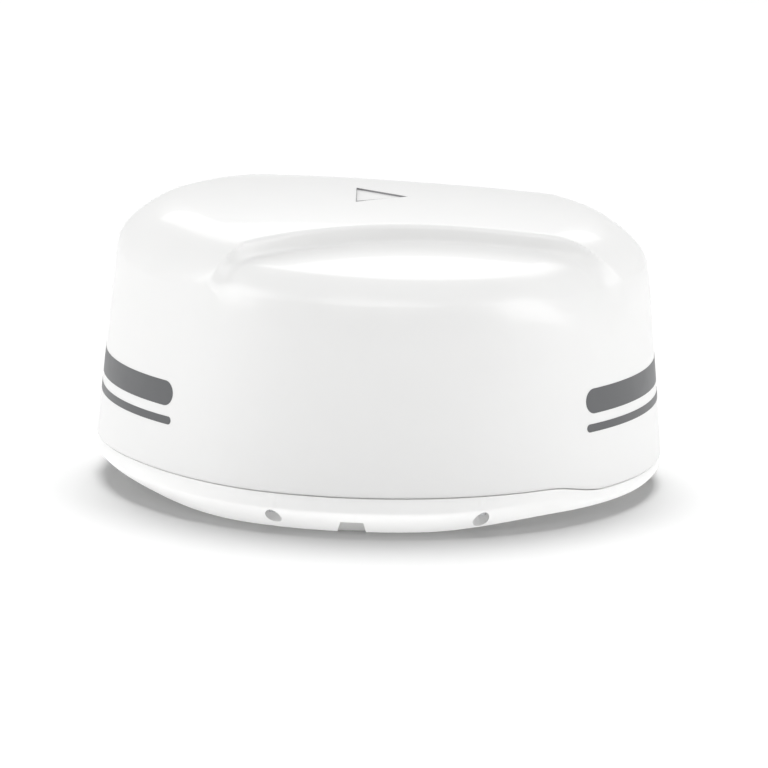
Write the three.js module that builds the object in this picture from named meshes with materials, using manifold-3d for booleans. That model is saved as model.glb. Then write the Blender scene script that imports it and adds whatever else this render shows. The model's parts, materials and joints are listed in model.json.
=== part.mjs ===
// Radar dome antenna: a weatherproof dome over a turning antenna, its drive and its electronics.
// Millimetres, +Z up. Origin: middle of the underside. +X: the heading (bow) side. -Y: port side.
import * as THREE from 'three';
import { mergeVertices } from 'three/addons/utils/BufferGeometryUtils.js';
import Module from 'manifold-3d';

const wasm = await Module();
wasm.setup();

// ---------------------------------------------------------------- driving dimensions
const TAU = 2 * Math.PI;
const AZIMUTH_STEPS = 48;
const GAP = 0.3;                       // between pieces that touch

const SHELL = {
  radius: 255,                         // at the seam
  seamZ: 36,
  draft: 5.3,                          // degrees
  deckZ: 257.9,
  deckSlope: 1.57,                     // degrees, down towards the bow
  crownRadius: 1115,
  lengthRadius: 2200,
  wall: 3.5,
  sideFillet: 28,
  sternFillet: 56,
  bowFillet: 58,
};
const SCOOP = {
  halfWidth: 106.5,                      // of the raised spine, at its narrow end
  flareStart: 90,
  flare: 10.2,
  flareLength: 90,
  flarePower: 2.17,
  sternEnd: -148,
  sternRound: 38,
  bowEnd: 213,
  bowRound: 55,
  floorZ: 238.6,
  floorSlope: 7.4,
  riserLean: 8,
  edgeRound: 3.5,
  footRound: 3,
};
const SEAM = { gap: 1.5, bowDrop: 8.5, bowFrom: 38, bowTo: 54, sternRise: 4, sternFrom: 112, sternTo: 155 };
const BASE = {
  footRadius: 229,
  sternFootRadius: 216,
  bowFootRadius: 248,
  bowLift: 12,
  bowFrom: 50,                         // degrees off the bow, as below
  bowTo: 80,
  sternFrom: 118,
  sternTo: 155,
  rimRadius: 254,
  flankPower: 1.35,
  stripHeight: 12,
  bowStripHeight: 8,
  floor: 4,
  rimThickness: 7,
  innerFoot: 220,
  innerTop: 224,
  undercut: 22,
  channelRadius: 202,
};
const NOTCH = { x: -22, bottom: 25, top: 20, height: 12, depthRadius: 222 };
const COVER_SCREW = {
  circle: 245,
  sideAngle: 21.7,
  pocket: 7.3,
  pocketTop: 22,
  hole: 2.4,
  shank: 2,
  head: 4.3,
  headHeight: 4.5,
  socket: 2.4,
  socketDepth: 2.5,
};
const SEAL = { inner: 230, outer: 235, depth: 2.2 };
const INSERT = { x: 116.75, y: 70.75, radius: 6, bore: 3.4, height: 14, boss: 10, bossTop: 18 };
const BAY = { x0: 150, x1: 206, halfWidth: 60, ceiling: 30, wall: 4 };
const CONNECTOR = { y: 28, z: 17, barrel: 8, hex: 11 };
const CHASSIS = { radius: 168, z: 38, thickness: 3, post: 110, postRadius: 7, hole: 2.4 };
const BEARING = { outer: 36, inner: 20, z: 46, height: 13, pitch: 28, ball: 4, balls: 8, housing: 44 };
const HUB = { bore: 13, flange: 68, flangeZ: 63.3, flangeHeight: 5 };
const GEAR = {
  module: 2.4,
  teeth: 60,
  pinionTeeth: 15,
  pressure: 20,
  backlash: 0.4,
  addendum: 0.8,
  dedendum: 1.1,
  z: 55,
  height: 7.7,
  inner: 50,
};
const MOTOR = { side: 42, height: 30, screw: 15.5, shaft: 2.5 };
const BOARD = { x0: -25, x1: 118, halfWidth: 58, z: 20, thickness: 1.6, post: 4 };
const ARRAY = { width: 420, height: 100, z: 92, front: -34, thickness: 6, trayDepth: 18 };

const SHAFT_DISTANCE = GEAR.module * (GEAR.teeth + GEAR.pinionTeeth) / 2;
const CHASSIS_TOP = CHASSIS.z + CHASSIS.thickness;
const HUB_TOP = HUB.flangeZ + HUB.flangeHeight;

// ---------------------------------------------------------------- finishes
function finish(color, roughness, metalness = 0) {
  return new THREE.MeshStandardMaterial({ color, roughness, metalness });
}

const MATERIALS = {
  gelcoat: () => finish(0xf2f2f0, 0.32),
  rubber: () => finish(0x1c1c1d, 0.8),
  stainless: () => finish(0xb9bcc0, 0.35, 1),
  brass: () => finish(0xc2a05a, 0.4, 1),
  aluminium: () => finish(0xa9adb1, 0.5, 1),
  board: () => finish(0x1f5a38, 0.5),
  tin: () => finish(0xc9cbcd, 0.35, 1),
  blackPlastic: () => finish(0x222224, 0.55),
  whitePlastic: () => finish(0xe6e4dc, 0.5),
  steel: () => finish(0x8a8d91, 0.4, 1),
  laminate: () => finish(0xc9b98a, 0.6),
  cable: () => finish(0x2a2a2c, 0.6),
};

// ---------------------------------------------------------------- solids
function toSolid(geometry) {
  const bare = new THREE.BufferGeometry();
  bare.setAttribute('position', geometry.getAttribute('position').clone());
  if (geometry.index) bare.setIndex(geometry.index.clone());
  const merged = mergeVertices(bare, 1e-3);
  const position = merged.getAttribute('position');
  const source = merged.index.array;
  const triangles = [];
  for (let i = 0; i < source.length; i += 3) {
    const [a, b, c] = [source[i], source[i + 1], source[i + 2]];
    if (a !== b && b !== c && c !== a) triangles.push(a, b, c);
  }
  const vertices = new Float32Array(position.array);
  if (signedVolume(vertices, triangles) < 0) {
    triangles.reverse();
  }
  const mesh = new wasm.Mesh({ numProp: 3, vertProperties: vertices, triVerts: new Uint32Array(triangles) });
  return new wasm.Manifold(mesh);
}

function signedVolume(vertices, triangles) {
  const at = (i) => new THREE.Vector3(vertices[3 * i], vertices[3 * i + 1], vertices[3 * i + 2]);
  let total = 0;
  for (let i = 0; i < triangles.length; i += 3) {
    total += at(triangles[i]).dot(at(triangles[i + 1]).cross(at(triangles[i + 2])));
  }
  return total / 6;
}

function toGeometry(solid) {
  const mesh = solid.getMesh();
  const geometry = new THREE.BufferGeometry();
  geometry.setAttribute('position', new THREE.BufferAttribute(mesh.vertProperties, mesh.numProp));
  geometry.setIndex(new THREE.BufferAttribute(mesh.triVerts, 1));
  geometry.computeVertexNormals();
  return geometry;
}

const join = (...solids) => solids.reduce((a, b) => a.add(b));
const cut = (solid, ...tools) => tools.reduce((a, b) => a.subtract(b), solid);

// A box from its low corner to its high corner.
function block(x0, x1, y0, y1, z0, z1) {
  const geometry = new THREE.BoxGeometry(x1 - x0, y1 - y0, z1 - z0);
  return toSolid(geometry.translate((x0 + x1) / 2, (y0 + y1) / 2, (z0 + z1) / 2));
}

// An upright cylinder on its bottom centre.
function post(radius, x, y, z0, z1, sides = 16, topRadius = radius) {
  const geometry = new THREE.CylinderGeometry(topRadius, radius, z1 - z0, sides).rotateX(Math.PI / 2);
  return toSolid(geometry.translate(x, y, (z0 + z1) / 2));
}

// A cylinder along X.
function barrel(radius, x0, x1, y, z, sides = 16) {
  const geometry = new THREE.CylinderGeometry(radius, radius, x1 - x0, sides).rotateZ(Math.PI / 2);
  return toSolid(geometry.translate((x0 + x1) / 2, y, z));
}

// A ring or disc turned about Z from [radius, z] points; the profile closes on itself or ends on the axis.
function turned(profile, sides = 28) {
  const onAxis = profile[0][0] === 0 && profile.at(-1)[0] === 0;
  const points = (onAxis ? profile : [...profile, profile[0]]).map(([r, z]) => new THREE.Vector2(r, z));
  return toSolid(new THREE.LatheGeometry(points, sides).rotateX(Math.PI / 2));
}

// A turned body whose profile changes with the azimuth: profileAt(x, y) gives the same number of
// [radius, z] points for every direction (x, y).
function wavyTurned(profileAt, sides) {
  const sample = profileAt(1, 0);
  const closed = sample[0][0] !== 0;
  const count = sample.length + (closed ? 1 : 0);
  const blank = Array.from({ length: count }, (_, j) => new THREE.Vector2(1, j));
  const geometry = new THREE.LatheGeometry(blank, sides);
  const position = geometry.getAttribute('position');
  for (let i = 0; i <= sides; i++) {
    const angle = TAU * (i % sides) / sides;
    const [x, y] = [Math.cos(angle), Math.sin(angle)];
    const profile = profileAt(x, y);
    for (let j = 0; j < count; j++) {
      const [r, z] = profile[j % profile.length];
      position.setXYZ(i * count + j, r * x, r * y, z);
    }
  }
  return toSolid(geometry);
}

// An upright prism from [x, y] corner points.
function prism(corners, z0, z1, holes = []) {
  const shape = new THREE.Shape(corners.map(([x, y]) => new THREE.Vector2(x, y)));
  shape.holes = holes.map((hole) => new THREE.Path(hole.map(([x, y]) => new THREE.Vector2(x, y))));
  const settings = { depth: z1 - z0, bevelEnabled: false, curveSegments: 8 };
  const geometry = new THREE.ExtrudeGeometry(shape, settings);
  return toSolid(geometry.translate(0, 0, z0));
}

// A round lead along a smooth curve through hand-set points.
function lead(points, radius, steps = 14, sides = 6) {
  const path = new THREE.CatmullRomCurve3(points.map((p) => new THREE.Vector3(...p)));
  const section = new THREE.Shape();
  for (let i = 0; i < sides; i++) {
    const angle = TAU * i / sides;
    const [x, y] = [radius * Math.cos(angle), radius * Math.sin(angle)];
    if (i === 0) section.moveTo(x, y);
    else section.lineTo(x, y);
  }
  return toSolid(new THREE.ExtrudeGeometry(section, { steps, bevelEnabled: false, extrudePath: path }));
}

const hexagon = (radius, x, y) => Array.from({ length: 6 }, (_, i) => [
  x + radius * Math.cos(TAU * i / 6), y + radius * Math.sin(TAU * i / 6)]);

// ---------------------------------------------------------------- outer form of the dome
const tanDeg = (degrees) => Math.tan(degrees * Math.PI / 180);
const clamp01 = (t) => Math.min(1, Math.max(0, t));
const smooth = (a, b, t) => {
  const u = clamp01((t - a) / (b - a));
  return u * u * (3 - 2 * u);
};
// Round meeting of two distance fields: outside corner (both must hold) and inside corner (either holds).
function roundBoth(a, b, r) {
  return Math.min(-r, Math.max(a, b)) + Math.hypot(Math.max(r + a, 0), Math.max(r + b, 0));
}

function roundEither(a, b, r) {
  return Math.max(r, Math.min(a, b)) - Math.hypot(Math.max(r - a, 0), Math.max(r - b, 0));
}

// How far a point lies inside the scoop cut beside the spine, seen from above.
function scoopDepth(x, y) {
  const back = Math.max(SCOOP.flareStart - x, 0);
  const side = SCOOP.halfWidth + SCOOP.flare * (back / SCOOP.flareLength) ** SCOOP.flarePower;
  const power = SCOOP.flarePower;
  const slope = SCOOP.flare * power * back ** (power - 1) / SCOOP.flareLength ** power;
  const across = (side - Math.abs(y)) / Math.hypot(1, slope);
  const sternSide = roundBoth(across, SCOOP.sternEnd - x, SCOOP.sternRound);
  return -roundBoth(sternSide, x - SCOOP.bowEnd, SCOOP.bowRound);
}

// Negative inside the dome, positive outside.
function domeField(x, y, z) {
  const r = Math.hypot(x, y) + 1e-9;
  const taper = tanDeg(SHELL.draft);
  const wall = (r - (SHELL.radius - (z - SHELL.seamZ) * taper)) / Math.hypot(1, taper);
  const fall = tanDeg(SHELL.deckSlope) * x + x * x / (2 * SHELL.lengthRadius);
  const deck = z - (SHELL.deckZ - fall - y * y / (2 * SHELL.crownRadius));
  const riser = scoopDepth(x, y) + (z - SCOOP.floorZ) * tanDeg(SCOOP.riserLean);
  const floor = z - (SCOOP.floorZ - tanDeg(SCOOP.floorSlope) * (Math.abs(y) - 100) - fall);
  const top = roundEither(roundBoth(deck, riser, SCOOP.edgeRound), floor, SCOOP.footRound);
  const endFillet = x < 0 ? SHELL.sternFillet : SHELL.bowFillet;
  const fillet = SHELL.sideFillet + (endFillet - SHELL.sideFillet) * smooth(0.45, 0.9, Math.abs(x / r));
  return roundBoth(wall, top, fillet);
}

// Degrees away from the bow.
const offBow = (x, y) => Math.atan2(Math.abs(y), x) * 180 / Math.PI;

// Rise and fall of the seam round the dome.
function seamWave(x, y) {
  const angle = offBow(x, y);
  return SEAM.sternRise * smooth(SEAM.sternFrom, SEAM.sternTo, angle)
    - SEAM.bowDrop * (1 - smooth(SEAM.bowFrom, SEAM.bowTo, angle));
}

const CENTRE_Z = 120;                  // the dome is seen whole from this point on its axis
// Distance from the centre point to the skin, shrunk by an inset, along a direction.
function skinReach(x, y, elevation, inset) {
  const [c, s] = [Math.cos(elevation), Math.sin(elevation)];
  let low = 60;
  let high = 320;
  for (let i = 0; i < 40; i++) {
    const mid = (low + high) / 2;
    if (domeField(x * c * mid, y * c * mid, CENTRE_Z + s * mid) + inset < 0) low = mid;
    else high = mid;
  }
  return low;
}

// Elevations, in degrees, of the skin's rows above the wall foot.
const SKIN_ROWS = [8, 19, 24, 28, 32, 37, 42, 46, 49.5, 53, 57, 63, 73];

function skinProfile(x, y, footZ, inset) {
  const footRadius = SHELL.radius - Math.max(0, footZ - SHELL.seamZ - 5) * tanDeg(SHELL.draft) - inset;
  const rows = SKIN_ROWS.map((degrees) => {
    const elevation = degrees * Math.PI / 180;
    const reach = skinReach(x, y, elevation, inset);
    return [reach * Math.cos(elevation), CENTRE_Z + reach * Math.sin(elevation)];
  });
  const pole = [0, CENTRE_Z + skinReach(x, y, Math.PI / 2, inset)];
  return [[footRadius, footZ], ...rows, pole];
}

const { sideAngle } = COVER_SCREW;
const screwAngles = [-90 - sideAngle, -90 + sideAngle, 0, 90 - sideAngle, 90 + sideAngle, 180];
const screwPlaces = screwAngles.map((degrees) => {
  const angle = degrees * Math.PI / 180;
  const [x, y] = [Math.cos(angle), Math.sin(angle)];
  return { x: COVER_SCREW.circle * x, y: COVER_SCREW.circle * y, wave: seamWave(x, y) };
});

// ---------------------------------------------------------------- cover and base
const FLANGE = { inner: 229, height: 5.5, boss: 7, bossHeight: 18 };

// The solid inside one skin of the dome, from a height above the seam up.
function skinSolid(height, inset) {
  return wavyTurned((x, y) => {
    const foot = SHELL.seamZ + seamWave(x, y) + height;
    return [[0, SHELL.seamZ + height], [FLANGE.inner - 4, foot], ...skinProfile(x, y, foot, inset)];
  }, AZIMUTH_STEPS);
}

// A ring-shaped plug that follows the seam.
function seamPlug(radius, low, high) {
  return wavyTurned((x, y) => {
    const seam = SHELL.seamZ + seamWave(x, y);
    return [[0, SHELL.seamZ + low], [radius, seam + low], [radius, seam + high], [0, SHELL.seamZ + high]];
  }, AZIMUTH_STEPS);
}

function radomeCover() {
  const foot = SEAM.gap / 2;
  const flangeTop = foot + FLANGE.height;
  const mouth = seamPlug(FLANGE.inner, foot - 1, flangeTop + 1);
  const shell = cut(skinSolid(foot, 0), skinSolid(flangeTop, SHELL.wall), mouth);
  const bosses = screwPlaces.map(({ x, y, wave }) => {
    const foot = SHELL.seamZ + wave + SEAM.gap / 2;
    return post(FLANGE.boss, x, y, foot + FLANGE.height - 1, foot + FLANGE.bossHeight, 16);
  });
  const holes = screwPlaces.map(({ x, y, wave }) => {
    const foot = SHELL.seamZ + wave;
    return post(COVER_SCREW.hole, x, y, foot - 5, foot + FLANGE.bossHeight - 3, 12);
  });
  return cut(join(shell, ...bosses), ...holes, headingArrow());
}

// A shallow triangular mark in the deck that points to the bow.
const ARROW = { tip: 22.5, tail: -24.5, halfWidth: 34, depth: 1.6 };
function headingArrow() {
  const outline = [[ARROW.tip, 0], [ARROW.tail, ARROW.halfWidth], [ARROW.tail, -ARROW.halfWidth]];
  const shape = new THREE.Shape(outline.map(([x, y]) => new THREE.Vector2(x, y)));
  const geometry = new THREE.ExtrudeGeometry(shape, { depth: 10, bevelEnabled: false });
  geometry.rotateY(SHELL.deckSlope * Math.PI / 180);
  return toSolid(geometry.translate(0, 0, SHELL.deckZ - ARROW.depth));
}

// The base's section in a direction; filled gives only its outer form.
function baseProfile(x, y, filled = false) {
  const angle = offBow(x, y);
  const away = smooth(BASE.bowFrom, BASE.bowTo, angle);
  const lift = BASE.bowLift * (1 - away);
  const foot = BASE.bowFootRadius + (BASE.footRadius - BASE.bowFootRadius) * away
    + (BASE.sternFootRadius - BASE.footRadius) * smooth(BASE.sternFrom, BASE.sternTo, angle);
  const top = SHELL.seamZ + seamWave(x, y) - SEAM.gap / 2;
  const stripFoot = top - BASE.stripHeight * away - BASE.bowStripHeight * (1 - away);
  const flank = [0.3, 0.65].map((t) => [
    foot + (BASE.rimRadius - foot) * (1 - (1 - t) ** BASE.flankPower), lift + (stripFoot - lift) * t]);
  const outside = [[0, 0], [BASE.channelRadius - 4, 0], [BASE.channelRadius, lift], [foot, lift], ...flank,
    [BASE.rimRadius, stripFoot], [BASE.rimRadius, top]];
  if (filled) return [...outside, [0, SHELL.seamZ]];
  const groove = [[SEAL.outer, top], [SEAL.outer, top - SEAL.depth], [SEAL.inner, top - SEAL.depth],
    [SEAL.inner, top]];
  const rim = [[BASE.innerTop, top], [BASE.innerTop, top - BASE.rimThickness],
    [BASE.innerTop + BASE.undercut * away, top - BASE.rimThickness - 2]];
  const floor = [[BASE.innerFoot, lift + BASE.floor + 0.5], [BASE.channelRadius - 1, lift + BASE.floor],
    [BASE.channelRadius - 6, BASE.floor], [0, BASE.floor]];
  return [...outside, ...groove, ...rim, ...floor];
}

// The vent sits in the floor on the starboard side.
const VENT = { x: -40, y: 150, radius: 6 };

function baseHousing() {
  const pan = wavyTurned((x, y) => baseProfile(x, y), AZIMUTH_STEPS);
  const outerForm = wavyTurned((x, y) => baseProfile(x, y, true), AZIMUTH_STEPS);
  const bay = block(BAY.x0 - BAY.wall, BAY.x1, -BAY.halfWidth - BAY.wall, BAY.halfWidth + BAY.wall, 1,
    BAY.ceiling + BAY.wall);
  const bayCut = block(BAY.x0, BAY.x1 + 0.5, -BAY.halfWidth, BAY.halfWidth, -1, BAY.ceiling);
  const bayReach = BAY.halfWidth + BAY.wall;
  const outerWall = block(BAY.x1 - 0.5, BAY.x1 + BAY.wall, -bayReach, bayReach,
    BASE.bowLift + 2, BAY.ceiling + BAY.wall);
  const insertBosses = insertPlaces.map(([x, y]) => post(INSERT.boss, x, y, 1, INSERT.bossTop, 16));
  const insertHoles = insertPlaces.map(([x, y]) =>
    post(INSERT.radius + GAP, x, y, -1, INSERT.height + 2 * GAP, 16));
  const posts = chassisPlaces.map(([x, y]) => post(CHASSIS.postRadius, x, y, 1, CHASSIS.z - GAP, 16));
  const postHoles = chassisPlaces.map(([x, y]) =>
    post(CHASSIS.hole, x, y, CHASSIS.z - 15, CHASSIS.z + 1, 12));
  const boardPosts = boardPlaces.map(([x, y]) => post(BOARD.post, x, y, 1, BOARD.z - GAP, 12));
  const pockets = screwPlaces.map(({ x, y, wave }) =>
    post(COVER_SCREW.pocket, x, y, -1, COVER_SCREW.pocketTop + wave, 12));
  const pocketBosses = screwPlaces.map(({ x, y, wave }) =>
    post(COVER_SCREW.pocket + 2.5, x, y, 1, SHELL.seamZ + wave - 3, 12));
  const notchWall = block(NOTCH.x - 16, NOTCH.x + 16, -NOTCH.depthRadius - 14, -NOTCH.depthRadius + 4, 1,
    NOTCH.height + 4);
  const throughs = screwPlaces.map(({ x, y, wave }) =>
    post(COVER_SCREW.hole, x, y, COVER_SCREW.pocketTop + wave - 1, SHELL.seamZ + wave + 2, 8));
  const connectorHoles = [-1, 1].map((side) =>
    barrel(CONNECTOR.barrel + GAP, BAY.x0 - BAY.wall - 1, BAY.x0 + 1, side * CONNECTOR.y, CONNECTOR.z));
  const ventHole = post(VENT.radius - 2 + GAP, VENT.x, VENT.y, -1, BASE.floor + 1, 12);
  const rimBosses = join(notchWall, ...pocketBosses).intersect(outerForm);
  const whole = join(pan, bay, outerWall, rimBosses, ...insertBosses, ...posts, ...boardPosts);
  return cut(whole, bayCut, sideNotch(), ...insertHoles,
    ...postHoles, ...pockets, ...throughs, ...connectorHoles, ventHole);
}

// A tapering notch in the foot of the port side.
function sideNotch() {
  const [b, t] = [NOTCH.bottom / 2, NOTCH.top / 2];
  const rise = (t - b) / NOTCH.height;
  const shape = new THREE.Shape([[-b + rise, -1], [b - rise, -1], [t, NOTCH.height], [-t, NOTCH.height]]
    .map(([x, y]) => new THREE.Vector2(x, y)));
  const geometry = new THREE.ExtrudeGeometry(shape, { depth: 40, bevelEnabled: false });
  return toSolid(geometry.rotateX(Math.PI / 2).translate(NOTCH.x, -NOTCH.depthRadius, 0));
}

const signs = [[-1, -1], [1, -1], [1, 1], [-1, 1]];
const insertPlaces = signs.map(([a, b]) => [a * INSERT.x, b * INSERT.y]);
const chassisPlaces = signs.map(([a, b]) => [a * CHASSIS.post, b * CHASSIS.post]);
const boardPlaces = signs.map(([a, b]) => [
  (BOARD.x0 + BOARD.x1) / 2 + a * ((BOARD.x1 - BOARD.x0) / 2 - 7), b * (BOARD.halfWidth - 7)]);

function coverSeal() {
  return wavyTurned((x, y) => {
    const top = SHELL.seamZ + seamWave(x, y) + SEAM.gap / 2 - GAP;
    const bottom = SHELL.seamZ + seamWave(x, y) - SEAM.gap / 2 - SEAL.depth + GAP;
    const [inside, outside] = [SEAL.inner + GAP, SEAL.outer - GAP];
    return [[inside, bottom], [outside, bottom], [outside, top], [inside, top]];
  }, AZIMUTH_STEPS);
}

function coverScrew({ x, y, wave }) {
  const seat = COVER_SCREW.pocketTop + wave - GAP;
  const top = SHELL.seamZ + wave + FLANGE.bossHeight - 5;
  const headEnd = seat - COVER_SCREW.headHeight;
  const head = post(COVER_SCREW.head, x, y, headEnd, seat, 12);
  const shank = post(COVER_SCREW.shank, x, y, seat - 1, top, 8);
  const socket = prism(hexagon(COVER_SCREW.socket, x, y), headEnd - 1, headEnd + COVER_SCREW.socketDepth);
  return cut(join(head, shank), socket);
}

function mountInsert([x, y]) {
  const body = post(INSERT.radius, x, y, GAP, INSERT.height, 16);
  return cut(body, post(INSERT.bore, x, y, -1, INSERT.height - 2, 16));
}

// ---------------------------------------------------------------- connectors and vent
function panelConnector(side) {
  const y = side * CONNECTOR.y;
  const x = BAY.x0;
  const flange = barrel(CONNECTOR.hex, x + 1.8 + GAP, x + 5, y, CONNECTOR.z);
  const front = barrel(CONNECTOR.barrel + 0.8, x + 4, x + 15, y, CONNECTOR.z);
  const back = barrel(CONNECTOR.barrel, x - 18, x + 4.5, y, CONNECTOR.z);
  const mouth = barrel(CONNECTOR.barrel - 1, x + 8, x + 16, y, CONNECTOR.z);
  const pinRows = [-1, 0, 1].map((row) => {
    const height = CONNECTOR.z + (row ? 1.6 : -2.4);
    return barrel(1, x + 7, x + 10.3, y + row * 3.6, height, 8);
  });
  return join(cut(join(flange, front, back), mouth), ...pinRows);
}

function connectorGasket(side) {
  const y = side * CONNECTOR.y;
  const ring = barrel(CONNECTOR.hex - 0.5, BAY.x0 + GAP, BAY.x0 + 1.8, y, CONNECTOR.z);
  return cut(ring, barrel(CONNECTOR.barrel + GAP, BAY.x0 - 1, BAY.x0 + 3, y, CONNECTOR.z));
}

function connectorNut(side) {
  const y = side * CONNECTOR.y;
  const x = BAY.x0 - BAY.wall - GAP;
  const geometry = new THREE.CylinderGeometry(CONNECTOR.hex, CONNECTOR.hex, 5, 6).rotateZ(Math.PI / 2);
  const nut = toSolid(geometry.translate(x - 2.5, y, CONNECTOR.z));
  return cut(nut, barrel(CONNECTOR.barrel + GAP, x - 6, x + 1, y, CONNECTOR.z));
}

function ventPlug() {
  const cap = post(VENT.radius - 2, VENT.x, VENT.y, GAP, BASE.floor + 1, 12);
  return join(cap, post(VENT.radius, VENT.x, VENT.y, BASE.floor + GAP, BASE.floor + 4, 20));
}

// ---------------------------------------------------------------- chassis and electronics
function chassisPlate() {
  const plate = post(CHASSIS.radius, 0, 0, CHASSIS.z, CHASSIS_TOP, 36);
  const housing = post(BEARING.housing, 0, 0, CHASSIS_TOP - 1, BEARING.z + BEARING.height + 1, 28);
  const race = post(BEARING.outer, 0, 0, BEARING.z - GAP, BEARING.z + 30, 28);
  const well = post(BEARING.outer - 6, 0, 0, CHASSIS.z - 1, BEARING.z + 30, 28);
  const holes = chassisPlaces.map(([x, y]) => post(CHASSIS.hole, x, y, CHASSIS.z - 1, CHASSIS_TOP + 1, 12));
  const motorPilot = post(11.3, 0, -SHAFT_DISTANCE, CHASSIS.z - 1, CHASSIS_TOP + 1, 24);
  const motorHoles = motorPlaces.map(([x, y]) => post(1.8, x, y, CHASSIS.z - 1, CHASSIS_TOP + 1, 10));
  const windows = [-1, 1].map((side) => {
    const outline = [[side * 60, 60], [side * 105, 40], [side * 105, -40], [side * 60, -60]];
    return prism(outline, CHASSIS.z - 1, CHASSIS_TOP + 1);
  });
  const slot = block(-15, 15, 104, 130, CHASSIS.z - 1, CHASSIS_TOP + 1);
  return cut(join(plate, housing), race, well, motorPilot, slot, ...holes, ...motorHoles, ...windows);
}

function panHeadScrew(x, y, seat, length, shank, head) {
  const drive = prism(hexagon(head * 0.5, x, y), seat + head * 0.35, seat + head);
  const body = join(post(head, x, y, seat + GAP, seat + head * 0.75, 12, head * 0.85),
    post(shank, x, y, seat - length, seat + 1, 8));
  return cut(body, drive);
}

const motorPlaces = signs.map(([a, b]) => [a * MOTOR.screw, b * MOTOR.screw - SHAFT_DISTANCE]);

// Plug headers on the board, where the leads end.
const HEADERS = { power: [104, -44], network: [104, 46], motor: [38, -46] };
const HEADER_HEIGHT = 5;
const HEADER_TOP = BOARD.z + BOARD.thickness + HEADER_HEIGHT + GAP;
function mainBoard() {
  const top = BOARD.z + BOARD.thickness;
  const plate = block(BOARD.x0, BOARD.x1, -BOARD.halfWidth, BOARD.halfWidth, BOARD.z, top);
  const chips = [[62, -38, 16, 16, 1.6], [90, -20, 12, 12, 1.4], [100, 26, 14, 24, 9], [-8, 36, 18, 18, 7],
    [-10, -34, 14, 22, 8]];
  chips.push(...Object.values(HEADERS).map(([x, y]) => [x, y, 8, 7, HEADER_HEIGHT]));
  const parts = chips.map(([x, y, w, d, h]) =>
    block(x - w / 2, x + w / 2, y - d / 2, y + d / 2, top - 0.5, top + h));
  const cans = [[70, 44], [82, 44]].map(([x, y]) => post(4.5, x, y, top - 0.5, top + 11, 14));
  const holes = boardPlaces.map(([x, y]) => post(1.6, x, y, BOARD.z - 1, top + 1, 10));
  return cut(join(plate, ...parts, ...cans), ...holes);
}

const SHIELD = { x0: 8, x1: 80, halfWidth: 26, height: 7 };
function boardShield() {
  const z = BOARD.z + BOARD.thickness + GAP;
  const outer = block(SHIELD.x0, SHIELD.x1, -SHIELD.halfWidth, SHIELD.halfWidth, z, z + SHIELD.height);
  const inner = block(SHIELD.x0 + 1, SHIELD.x1 - 1, 1 - SHIELD.halfWidth, SHIELD.halfWidth - 1, z - 1,
    z + SHIELD.height - 1);
  return cut(outer, inner);
}

const RADIO = { x0: -152, x1: -42, halfWidth: 42, z: 17.3, height: 15 };
function transceiverModule() {
  const { x0, x1, halfWidth, z, height } = RADIO;
  const body = block(x0, x1, -halfWidth, halfWidth, z, z + height);
  const lid = block(x0 + 4, x1 - 4, 4 - halfWidth, halfWidth - 4, z + height - 0.5, z + height + 1);
  const port = barrel(4, x1 - 1, x1 + 8, 26, z + height / 2, 12);
  return join(body, lid, port);
}

function heatSink() {
  const top = RADIO.z - GAP;
  const plate = block(RADIO.x0 - 4, RADIO.x1 + 4, -RADIO.halfWidth - 4, RADIO.halfWidth + 4, top - 4, top);
  const fins = Array.from({ length: 11 }, (_, i) => {
    const x = RADIO.x0 + i * 11;
    return block(x - 1, x + 1, -RADIO.halfWidth - 4, RADIO.halfWidth + 4, BASE.floor + GAP, top - 3);
  });
  return join(plate, ...fins);
}

// ---------------------------------------------------------------- drive
function gearOutline(teeth, turn) {
  const pitch = GEAR.module * teeth / 2;
  const base = pitch * Math.cos(GEAR.pressure * Math.PI / 180);
  const [root, tip] = [pitch - GEAR.dedendum * GEAR.module, pitch + GEAR.addendum * GEAR.module];
  const involute = (angle) => Math.tan(angle) - angle;
  const halfAt = (r) => Math.PI / (2 * teeth) - GEAR.backlash / (2 * pitch)
    + involute(GEAR.pressure * Math.PI / 180) - involute(Math.acos(Math.min(1, base / r)));
  const flankFoot = Math.max(base, root);
  const flank = [flankFoot, (flankFoot + tip) / 2, tip];
  const points = [];
  for (let i = 0; i < teeth; i++) {
    const middle = turn + TAU * i / teeth;
    const left = flank.map((r) => [r, -halfAt(r)]);
    if (root < base - 0.01) left.unshift([root, -halfAt(base)]);
    const right = left.map(([r, a]) => [r, -a]).reverse();
    for (const [r, a] of [...left, ...right]) {
      points.push([r * Math.cos(middle + a), r * Math.sin(middle + a)]);
    }
  }
  return points;
}

const circle = (radius, sides) => Array.from({ length: sides }, (_, i) => [
  radius * Math.cos(TAU * i / sides), radius * Math.sin(TAU * i / sides)]);

function driveGear() {
  return prism(gearOutline(GEAR.teeth, 0), GEAR.z, GEAR.z + GEAR.height, [circle(GEAR.inner, 36)]);
}

// One tooth space of the pinion faces the big gear, which has a tooth on that line.
function motorPinion() {
  const outline = gearOutline(GEAR.pinionTeeth, Math.PI / 2 + Math.PI / GEAR.pinionTeeth);
  const moved = outline.map(([x, y]) => [x, y - SHAFT_DISTANCE]);
  const bore = circle(MOTOR.shaft + GAP, 16).map(([x, y]) => [x, y - SHAFT_DISTANCE]);
  return prism(moved, GEAR.z - 1, GEAR.z + GEAR.height + 0.3, [bore]);
}

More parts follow.
